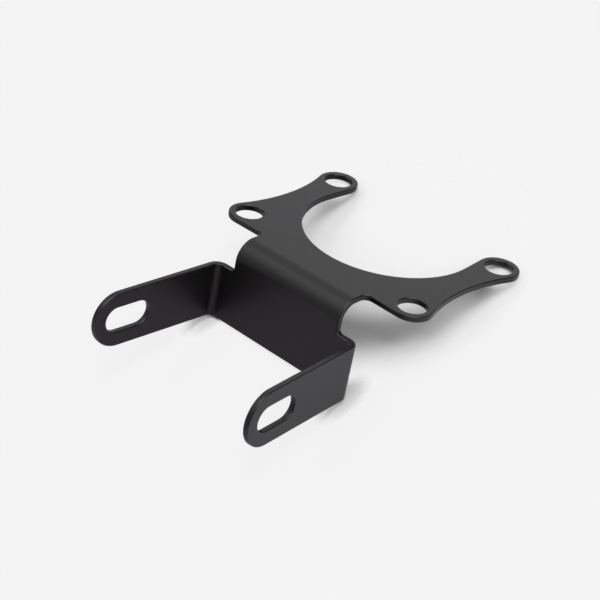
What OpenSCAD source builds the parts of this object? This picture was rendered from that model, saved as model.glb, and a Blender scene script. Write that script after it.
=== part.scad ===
// Headlight mounting bracket, cut and folded from one sheet.
// The flat plate carries four bolt holes round a half-round cut-out.
// Its neck bends down into a web, and the web's two lugs fold forward into slotted arms.
// The origin is the middle of the four holes on the plate's top face, with the arms towards -Y.

/* [Sheet] */
// Thickness of the sheet
sheet_t = 2; // [1.5:0.1:2.5]

/* [Plate holes] */
// Distance across the plate between hole centres
hole_pitch_x = 68.4; // [66:0.2:74]
// Distance along the plate between hole centres
hole_pitch_y = 42; // [38:0.5:46]
// Diameter of the four plate holes
hole_d = 9; // [6:0.1:10]

/* [Plate outline] */
// Radius of the round ear about each hole
ear_r = 6.6; // [6:0.1:7.2]
// Radius of the hollow side between two ears
side_r = 55.5; // [45:0.5:80]
// Radius of the half-round cut-out
cutout_r = 28.5; // [24:0.25:29]
// Distance of the cut-out's centre behind the middle of the holes
cutout_y = 8.7; // [7:0.1:10]
// Width of the neck that runs over the bend
neck_w = 43.4; // [38:0.2:46]
// Radius of the notch between the neck and the front ear
notch_r = 2.3; // [1.5:0.1:2.6]
// Distance of the notch's centre in front of the front holes
notch_reach = 8.8; // [8:0.1:10]

/* [Bend and web] */
// Distance from the front holes to the start of the bend
bend_reach = 11; // [10.5:0.25:14]
// Inner radius of the bend
bend_r = 4.7; // [2:0.1:6]
// Angle that the sheet is bent through
bend_angle = 87; // [85:0.5:92]
// Height from the web's lower edge to the plate's top face
drop = 28.5; // [27.5:0.5:36]
// Radius in the corner between the neck and each lug
lug_fillet_r = 1.2; // [0.8:0.1:1.8]

/* [Arms] */
// Width over the two arms at the web's front face
arm_span = 60; // [58:0.5:66]
// Inner radius of the fold between the web and an arm
fold_r = 2; // [1:0.1:3]
// Angle that each arm spreads outwards
arm_splay = 4; // [0:0.5:6]
// Height of an arm
arm_h = 18.4; // [14:0.2:19]
// Distance from the web's front face to the middle of the slot
slot_reach = 33.4; // [28:0.2:45]
// Length of the slot
slot_l = 16.3; // [12:0.1:18]
// Width of the slot
slot_w = 8.4; // [6:0.1:9]
// Distance from the middle of the slot to the centre of the arm's round end
slot_to_end = 3.2; // [2.5:0.1:8]

/* [Hidden] */
$fn = 128;
// Arcs run this far past the lines that they round into
lap = 0.002;
// Room by which a rough strip is longer or wider than what is cut from it
spare = 5;
hole_x = hole_pitch_x / 2;
hole_y = hole_pitch_y / 2;
// Outer radius of the bend, and the line where it starts on the plate
bend_out_r = bend_r + sheet_t;
bend_y = -hole_y - bend_reach;
// Flat height of the web below the bend, and the place of its lower front edge
web_h = (drop - bend_out_r * (1 - cos(bend_angle))) / sin(bend_angle);
web_y = bend_y - bend_out_r * sin(bend_angle) - web_h * cos(bend_angle);
// The arms run level with the plate, so they slope by this much against the web's normal
arm_slope = 90 - bend_angle;
lug_h = arm_h / cos(arm_slope);
// Place of the fold's centre across the web
fold_x = arm_span / 2 - (fold_r + sheet_t) / cos(arm_splay) + fold_r * tan(arm_splay);
// Lengths along an arm from the end of its fold
fold_end = fold_r - (fold_r + sheet_t / 2) * sin(arm_splay);
slot_at = (slot_reach - fold_end) / cos(arm_splay) / cos(arm_slope);
end_at = slot_at + slot_to_end;
// Centres of the arcs in the right half of the plate
cutout_c = [0, cutout_y];
rear_ear_c = [hole_x, hole_y];
front_ear_c = [hole_x, -hole_y];
side_c = [hole_x + sqrt(pow(ear_r + side_r - lap, 2) - pow(hole_y, 2)), 0];
notch_c = [neck_w / 2 + notch_r - lap, -hole_y - notch_reach];

// Point at angle a on a circle of radius r about c
function on_circle(c, r, a) = c + r * [cos(a), sin(a)];

// Angle at which a line that crosses between two circles touches the first,
// on the left of the way from c1 to c2 where side is 1 and on the right where it is -1
function crossing_angle(c1, r1, c2, r2, side) =
    atan2(c2[1] - c1[1], c2[0] - c1[0]) + side * acos((r1 + r2) / norm(c2 - c1));

// Right half of the blank seen from above, with the neck run on past the web:
// straight edges and the corners that the arcs then round or hollow out
module blank_half() {
    rear = crossing_angle(cutout_c, cutout_r - lap, rear_ear_c, ear_r - lap, -1);
    front = crossing_angle(front_ear_c, ear_r - lap, notch_c, notch_r - lap, 1);
    difference() {
        union() {
            difference() {
                polygon([
                    [0, web_y - spare],
                    [neck_w / 2, web_y - spare],
                    [neck_w / 2, notch_c[1]],
                    notch_c,
                    on_circle(notch_c, lap - notch_r, front),
                    on_circle(front_ear_c, ear_r - lap, front),
                    front_ear_c,
                    side_c,
                    rear_ear_c,
                    on_circle(rear_ear_c, lap - ear_r, rear),
                    on_circle(cutout_c, cutout_r - lap, rear),
                    cutout_c
                ]);
                translate(cutout_c) circle(r = cutout_r);
                translate(side_c) circle(r = side_r);
                translate(notch_c) circle(r = notch_r);
            }
            translate(rear_ear_c) circle(r = ear_r);
            translate(front_ear_c) circle(r = ear_r);
        }
        for (y = [-hole_y, hole_y]) translate([hole_x, y]) circle(d = hole_d);
    }
}

// Section of a sheet that lies along X under the X axis, folds up with inner radius r
// after leg, and runs on straight for run
module folded_section(leg, angle, r, run) {
    out_r = r + sheet_t;
    ahead = [cos(angle), sin(angle)];
    aside = [sin(angle), -cos(angle)];
    centre = [leg, r];
    outer = [leg + out_r * tan(angle / 2), -sheet_t];
    inner = [leg + r * tan(angle / 2), 0];
    difference() {
        union() {
            polygon([
                [0, -sheet_t],
                outer,
                outer + (out_r * tan(angle / 2) + run) * ahead,
                inner + (r * tan(angle / 2) + run) * ahead,
                inner,
                [0, 0]
            ]);
            polygon([centre, [leg, -sheet_t / 2], (outer + inner) / 2, centre + (r + sheet_t / 2) * aside]);
        }
        translate(centre) circle(r = r + lap);
        difference() {
            polygon([
                centre,
                centre - 2 * [0, out_r],
                centre + 2 * (outer - centre),
                centre + 2 * out_r * aside
            ]);
            translate(centre) circle(r = out_r + lap);
        }
    }
}

// Puts its children on the web: X across, Y up the web, Z forward, from the middle of its lower front edge
module on_web() {
    translate([0, web_y, -drop]) rotate([bend_angle, 0, 0]) children();
}

// Plate, neck and the middle of the web: one bent strip cut to the blank's outline
module plate_and_neck() {
    width = 2 * (hole_x + ear_r + spare);
    length = hole_y - bend_y + ear_r + spare;
    intersection() {
        on_web() translate([0, 0, -sheet_t]) rotate([-90, 0, 90])
            linear_extrude(width, center = true) folded_section(web_h, bend_angle, bend_r, length);
        linear_extrude(2 * (drop + spare), center = true) {
            blank_half();
            mirror([1, 0]) blank_half();
        }
    }
}

// Slot with round ends, long along X
module slot() {
    straight = slot_l - slot_w;
    translate([-straight / 2, -slot_w / 2]) square([straight, slot_w]);
    for (x = [-straight / 2, straight / 2]) translate([x, 0]) circle(d = slot_w + 2 * lap);
}

// Side view of a lug and its arm, X along the arm from the end of the fold and Y up it
module arm_outline() {
    ahead = [cos(arm_slope), -sin(arm_slope)];
    up = [sin(arm_slope), cos(arm_slope)];
    difference() {
        union() {
            polygon([
                [-arm_span, 0],
                [0, 0],
                end_at * ahead,
                end_at * ahead + arm_h * up,
                [0, lug_h],
                [-arm_span, lug_h]
            ]);
            translate(end_at * ahead + arm_h / 2 * up) circle(r = arm_h / 2 + lap);
        }
        translate(slot_at * ahead + arm_h / 2 * up) rotate(-arm_slope) slot();
    }
}

// Right half of the web below the neck, with its lug, fold and arm
module lug_and_arm() {
    intersection() {
        rotate([90, 0, 0]) linear_extrude(4 * arm_h, center = true)
            folded_section(fold_x, 90 - arm_splay, fold_r, end_at + arm_h);
        translate([fold_x, 0, fold_r]) rotate([0, arm_splay - 90, 0])
            linear_extrude(2 * arm_span, center = true) arm_outline();
    }
}

// Fillet between the neck's right side and its lug
module lug_fillet() {
    centre = [neck_w / 2 + lug_fillet_r, lug_h + lug_fillet_r];
    translate([0, 0, -sheet_t]) linear_extrude(sheet_t) difference() {
        translate([0, lug_h - lug_fillet_r]) square([centre[0], 2 * lug_fillet_r]);
        translate(centre) circle(r = lug_fillet_r + lap);
    }
}

module bracket() {
    color("#2a2a2c") {
        plate_and_neck();
        on_web() for (side = [0, 1]) mirror([side, 0, 0]) {
            lug_and_arm();
            lug_fillet();
        }
    }
}

bracket();
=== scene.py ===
# Headlight mounting bracket: folded sheet in a black powder coat, standing on a pale floor.
import math

import bpy
from mathutils import Euler, Matrix, Vector


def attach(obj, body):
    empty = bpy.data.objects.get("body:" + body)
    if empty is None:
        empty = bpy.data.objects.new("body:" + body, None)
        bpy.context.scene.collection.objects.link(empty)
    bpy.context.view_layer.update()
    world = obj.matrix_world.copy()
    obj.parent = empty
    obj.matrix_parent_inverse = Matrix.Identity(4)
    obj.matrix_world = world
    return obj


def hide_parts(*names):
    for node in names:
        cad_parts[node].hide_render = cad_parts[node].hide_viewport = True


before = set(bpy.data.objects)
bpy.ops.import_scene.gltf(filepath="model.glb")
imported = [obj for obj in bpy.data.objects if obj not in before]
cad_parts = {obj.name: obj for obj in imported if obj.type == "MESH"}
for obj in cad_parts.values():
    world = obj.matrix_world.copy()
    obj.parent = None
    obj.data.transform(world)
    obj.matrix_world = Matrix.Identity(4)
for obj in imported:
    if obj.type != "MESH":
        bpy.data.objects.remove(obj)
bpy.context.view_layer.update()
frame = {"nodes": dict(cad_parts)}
print("frame loaded:", ", ".join(frame["nodes"]))


class Wire:
    # an output socket of a node; arithmetic on it adds Math nodes
    def __init__(self, bench, socket):
        self.bench = bench
        self.socket = socket

    def worked(self, operation, *values):
        node = self.bench.add("ShaderNodeMath", {"operation": operation}, dict(enumerate(values)))
        return node.out(0)

    def __add__(self, other):
        return self.worked("ADD", self, other)

    def __radd__(self, other):
        return self.worked("ADD", other, self)

    def __mul__(self, other):
        return self.worked("MULTIPLY", self, other)

    def __rmul__(self, other):
        return self.worked("MULTIPLY", other, self)

    def larger(self, other):
        return self.worked("MAXIMUM", self, other)


class Placed:
    # a node that add() has placed; out() gives one of its sockets as a Wire
    def __init__(self, bench, node):
        self.bench = bench
        self.node = node

    def out(self, name):
        return Wire(self.bench, self.node.outputs[name])


class Bench:
    # adds nodes to one material or world
    def __init__(self, owner):
        owner.use_nodes = True
        self.tree = owner.node_tree
        self.tree.nodes.clear()

    def add(self, kind, settings=None, inputs=None):
        node = self.tree.nodes.new(kind)
        for name, value in (settings or {}).items():
            setattr(node, name, value)
        for name, value in (inputs or {}).items():
            if isinstance(value, Wire):
                self.tree.links.new(value.socket, node.inputs[name])
            else:
                node.inputs[name].default_value = value
        return Placed(self, node)

    def noise(self, place, scale, detail):
        return self.add("ShaderNodeTexNoise", None, {
            "Vector": place, "Scale": scale, "Detail": detail}).out(0)

    def vector(self, operation, *values):
        return self.add("ShaderNodeVectorMath", {"operation": operation}, dict(enumerate(values)))

    def blend(self, factor, first, second):
        # a colour that goes from first to second as factor goes from 0 to 1
        return self.add("ShaderNodeMix", {"data_type": "RGBA"}, {
            0: factor, 6: first, 7: second}).out(2)

    def rise(self, value, start, end):
        # goes smoothly from 0 to 1 as value goes from start to end
        return self.add("ShaderNodeMapRange", {"interpolation_type": "SMOOTHSTEP"}, {
            "Value": value, "From Min": start, "From Max": end}).out(0)


# The coat: near-black satin powder with a fine orange peel.
coatWork = {
    "black": (0.0020, 0.0019, 0.0020, 1),
    "blackHigh": (0.0045, 0.0043, 0.0045, 1),
    "roughLow": 0.35,
    "roughHigh": 0.41,
    "cloudScale": 260,
    "cloudDetail": 4,
    "peelScale": 900,
    "peelDetail": 1,
    "peelLift": 0.00002,    # lifts are in metres
    "grainScale": 3000,
    "grainDetail": 2,
    "grainLift": 0.000008,
}

# The powder lies thinner and smoother over the rounded edges; their lighter colour is partly that
# thinner powder and partly a painted highlight along the rims.
edgeCoatAndRimHighlightWork = {
    **coatWork,
    "black": (0.0060, 0.0058, 0.0060, 1),
    "blackHigh": (0.0200, 0.0195, 0.0200, 1),
    "roughLow": 0.22,
    "roughHigh": 0.30,
    "grainLift": 0.000012,
}


def makeCoat(name, work):
    coat = bpy.data.materials.new(name)
    bench = Bench(coat)
    place = bench.add("ShaderNodeTexCoord").out("Object")
    cloud = bench.noise(place, work["cloudScale"], work["cloudDetail"])
    grain = bench.noise(place, work["grainScale"], work["grainDetail"])
    peel = bench.noise(place, work["peelScale"], work["peelDetail"])
    colour = bench.blend(cloud, work["black"], work["blackHigh"])
    lift = peel * work["peelLift"] + grain * work["grainLift"]
    # a distance of 1 leaves the lifts in metres
    bump = bench.add("ShaderNodeBump", None, {"Strength": 1.0, "Distance": 1.0, "Height": lift})
    gloss = bench.add("ShaderNodeBsdfPrincipled", None, {
        "Base Color": colour,
        "Roughness": work["roughLow"] + (work["roughHigh"] - work["roughLow"]) * cloud,
        "Normal": bump.out(0),
    })
    bench.add("ShaderNodeOutputMaterial", None, {"Surface": gloss.out(0)})
    return coat


# The coated sheet: a copy of the solid's mesh with its cut edges rounded.
sheetWork = {
    "mergeWithin": 0.00003,
    "flatWithin": 0.4,      # degrees
    "cutEdgeFrom": 50,      # degrees between the faces at a cut edge
    "edgeRound": 0.0004,
    "edgeSteps": 4,
    "evenWeight": 100,      # how far the large faces lead the shading
    "evenWithin": 0.01,
}


def copyOfSolid(nodeName, pieceName):
    piece = bpy.data.objects.new(pieceName, frame["nodes"][nodeName].data.copy())
    piece.data.name = pieceName
    bpy.context.scene.collection.objects.link(piece)
    return piece


def takeOnly(piece):
    bpy.ops.object.select_all(action="DESELECT")
    piece.select_set(True)
    bpy.context.view_layer.objects.active = piece


def makeSheet():
    work = sheetWork
    piece = copyOfSolid("bracket", "coated_sheet")
    piece.data.materials.clear()
    piece.data.materials.append(makeCoat("black powder coat", coatWork))
    piece.data.materials.append(makeCoat("coat on the cut edges with painted rim highlight", edgeCoatAndRimHighlightWork))
    takeOnly(piece)
    bpy.ops.object.mode_set(mode="EDIT")
    bpy.ops.mesh.select_mode(type="VERT")
    bpy.ops.mesh.select_all(action="SELECT")
    bpy.ops.mesh.remove_doubles(threshold=work["mergeWithin"])
    bpy.ops.mesh.dissolve_limited(angle_limit=math.radians(work["flatWithin"]))
    bpy.ops.object.mode_set(mode="OBJECT")
    rounding = piece.modifiers.new("edge round", "BEVEL")
    rounding.limit_method = "ANGLE"
    rounding.angle_limit = math.radians(work["cutEdgeFrom"])
    rounding.width = work["edgeRound"]
    rounding.segments = work["edgeSteps"]
    rounding.use_clamp_overlap = False
    rounding.miter_outer = "MITER_SHARP"
    # the rounded edges take the second coat, whose lighter colour is partly thinner powder and
    # partly a painted rim highlight
    rounding.material = 1       # the second coat
    bpy.ops.object.modifier_apply(modifier=rounding.name)
    bpy.ops.object.shade_smooth()
    evening = piece.modifiers.new("even shading", "WEIGHTED_NORMAL")
    evening.weight = work["evenWeight"]
    evening.thresh = work["evenWithin"]
    bpy.ops.object.modifier_apply(modifier=evening.name)
    return piece


sheet = makeSheet()
print("sheet made:", len(sheet.data.polygons), "faces")

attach(sheet, "root")
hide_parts("bracket")

# The floor passes under the web's lower edge and the tips of the rear ears,
# on which the bracket stands. Its own axes start at the web's lower edge.
floorWork = {
    "webEdge": (0, -0.037860, -0.028605),
    "earTip": (0, 0.027600, -0.002),
    "halfWidth": 3.0,
    "seenWhite": (0.839, 0.835, 0.821, 1),
    # what the floor throws back on the bracket, left and right of a slanting line; the darker,
    # pinker tone on the left is painted shade with a painted warm tint, seen only in the
    # bracket's light and reflections
    "shadedBounceLeft": (0.54, 0.46, 0.52, 1),
    "bounceRight": (0.80, 0.79, 0.81, 1),
    "bounceLean": 0.5,
    "bounceFrom": 0.0,
    "bounceTo": 0.03,
    # outside the ovals the shadow is painted out: the floor lets the backdrop through for camera
    # rays
    # ovals in which the shadow stays: middle, reach,
    # and the parts of the reach between which it thins out
    "shadowOvals": [
        ((0.003, 0.053, 0), (0.037, 0.045, 1), 0.8, 1.25),
        ((0.0287, -0.0017, 0), (0.006, 0.013, 1), 0.4, 1.0),
        ((-0.0287, -0.0017, 0), (0.006, 0.013, 1), 0.4, 1.0),
    ],
    "shadowPaintedOut": 0.87,       # part of the shadow that is gone outside the ovals
    "fadeFrom": 0.30,
    "fadeTo": 0.55,
}


def floorFrame():
    # axes of the floor: across, away from the arms, and up
    webEdge, earTip = Vector(floorWork["webEdge"]), Vector(floorWork["earTip"])
    across = Vector((1, 0, 0))
    away = (earTip - webEdge).normalized()
    up = across.cross(away)
    turn = Matrix((across, away, up)).transposed().to_4x4()
    return Matrix.Translation(webEdge) @ turn


def makeFloor():
    work = floorWork
    bpy.ops.object.select_all(action="DESELECT")
    bpy.ops.mesh.primitive_plane_add(size=2 * work["halfWidth"])
    floor = bpy.context.active_object
    floor.name = "floor"
    floor.matrix_world = floorFrame()
    paper = bpy.data.materials.new("pale floor")
    bench = Bench(paper)
    toCamera = bench.add("ShaderNodeLightPath").out("Is Camera Ray")
    place = bench.add("ShaderNodeTexCoord").out("Object")
    far = bench.rise(bench.vector("LENGTH", place).out("Value"), work["fadeFrom"], work["fadeTo"])
    # the shadow is full below the plate and beside the arms' folds; round them it is painted out,
    # the floor letting the backdrop through for camera rays
    thin = work["shadowPaintedOut"]
    for middle, reach, start, end in work["shadowOvals"]:
        offset = bench.vector("SUBTRACT", place, middle).out(0)
        offset = bench.vector("DIVIDE", offset, reach).out(0)
        thin = thin * bench.rise(bench.vector("LENGTH", offset).out("Value"), start, end)
    below = bench.add("ShaderNodeNewGeometry").out("Backfacing")
    hidden = far.larger(thin).larger(below) * toCamera
    seen = bench.add("ShaderNodeBsdfDiffuse", None, {"Color": work["seenWhite"]}).out(0)
    parts = bench.add("ShaderNodeSeparateXYZ", None, {0: place})
    # the bounce is darker and pinker to the left: painted shade and a painted warm tint that the
    # camera never sees on the floor
    across = parts.out("X") + parts.out("Y") * work["bounceLean"]
    side = bench.rise(across, work["bounceFrom"], work["bounceTo"])
    tone = bench.blend(side, work["shadedBounceLeft"], work["bounceRight"])
    bounce = bench.add("ShaderNodeBsdfDiffuse", None, {"Color": tone}).out(0)
    clear = bench.add("ShaderNodeBsdfTransparent").out(0)
    surface = bench.add("ShaderNodeMixShader", None, {0: toCamera, 1: bounce, 2: seen}).out(0)
    surface = bench.add("ShaderNodeMixShader", None, {0: hidden, 1: surface, 2: clear}).out(0)
    bench.add("ShaderNodeOutputMaterial", None, {"Surface": surface})
    floor.data.materials.append(paper)


makeFloor()
print("floor laid")

# Soft boxes round the bracket: azimuth and elevation over the floor, in degrees,
# width of the box, and strength.
studioWork = {
    "centre": (0, -0.02, 0.0),
    "distance": 8.0,
    "boxes": {
        "overhead": (120, 84, 4.6, 4.05),
        "high back": (165, 64, 4.2, 1.35),
        "back right": (128, 57, 3.8, 2.30),
        "right": (80, 48, 4.0, 3.50),
        "low back": (211, 10, 3.0, 1.10),
        "back left": (222, 34, 3.6, 1.04),
        "high left": (250, 54, 3.6, 1.22),
        "left": (285, 54, 3.6, 1.52),
        "front left": (312, 42, 3.6, 0.93),
        "low front left": (324, 16, 3.6, 0.58),
        "low left": (272, 14, 3.2, 0.25),
        "low right": (88, 16, 3.4, 0.50),
        "front": (5, 40, 3.6, 0.60),
    },
    "boxTint": (0.993, 0.995, 1.012),
    "roomLight": (0.030, 0.028, 0.031, 1),
    "backdrop": (0.905, 0.905, 0.905, 1),
}


def makeStudio():
    work = studioWork
    ground = floorFrame()
    centre = ground @ Vector(work["centre"])
    for name, (azimuth, elevation, width, strength) in work["boxes"].items():
        a, e = math.radians(azimuth), math.radians(elevation)
        outward = Vector((math.sin(a) * math.cos(e), -math.cos(a) * math.cos(e), math.sin(e)))
        outward = ground.to_3x3() @ outward
        lamp = bpy.data.lights.new("box " + name, "AREA")
        lamp.shape = "SQUARE"
        lamp.size = width
        lamp.color = work["boxTint"]
        # a strength of 1 is a box that looks white, and a box's power is pi times its area
        lamp.energy = strength * math.pi * width ** 2
        box = bpy.data.objects.new("box " + name, lamp)
        box.matrix_world = (Matrix.Translation(centre + outward * work["distance"])
                            @ outward.to_track_quat("Z", "Y").to_matrix().to_4x4())
        box.visible_camera = False
        bpy.context.scene.collection.objects.link(box)
    world = bpy.data.worlds.new("studio")
    bench = Bench(world)
    toCamera = bench.add("ShaderNodeLightPath").out("Is Camera Ray")
    tone = bench.blend(toCamera, work["roomLight"], work["backdrop"])
    glow = bench.add("ShaderNodeBackground", None, {"Color": tone})
    bench.add("ShaderNodeOutputWorld", None, {"Surface": glow.out(0)})
    bpy.context.scene.world = world


makeStudio()
print("studio lit")

# The camera stands where the photograph was taken from.
cameraWork = {
    "place": (0.287599, -0.385878, 0.249877),
    "turn": (59.8566, -7.8707, 43.5867),    # degrees
    "lens": 103.642,                        # millimetres, as the sensor's width
    "sensorWidth": 36,
    "nearest": 0.01,
    "farthest": 50,
}


def makeCamera():
    work = cameraWork
    lens = bpy.data.cameras.new("camera")
    lens.lens = work["lens"]
    lens.sensor_width = work["sensorWidth"]
    lens.clip_start = work["nearest"]
    lens.clip_end = work["farthest"]
    camera = bpy.data.objects.new("camera", lens)
    camera.location = work["place"]
    camera.rotation_euler = Euler([math.radians(turn) for turn in work["turn"]])
    bpy.context.scene.collection.objects.link(camera)
    bpy.context.scene.camera = camera


makeCamera()
bpy.context.scene.view_settings.view_transform = "Standard"
print("camera set")
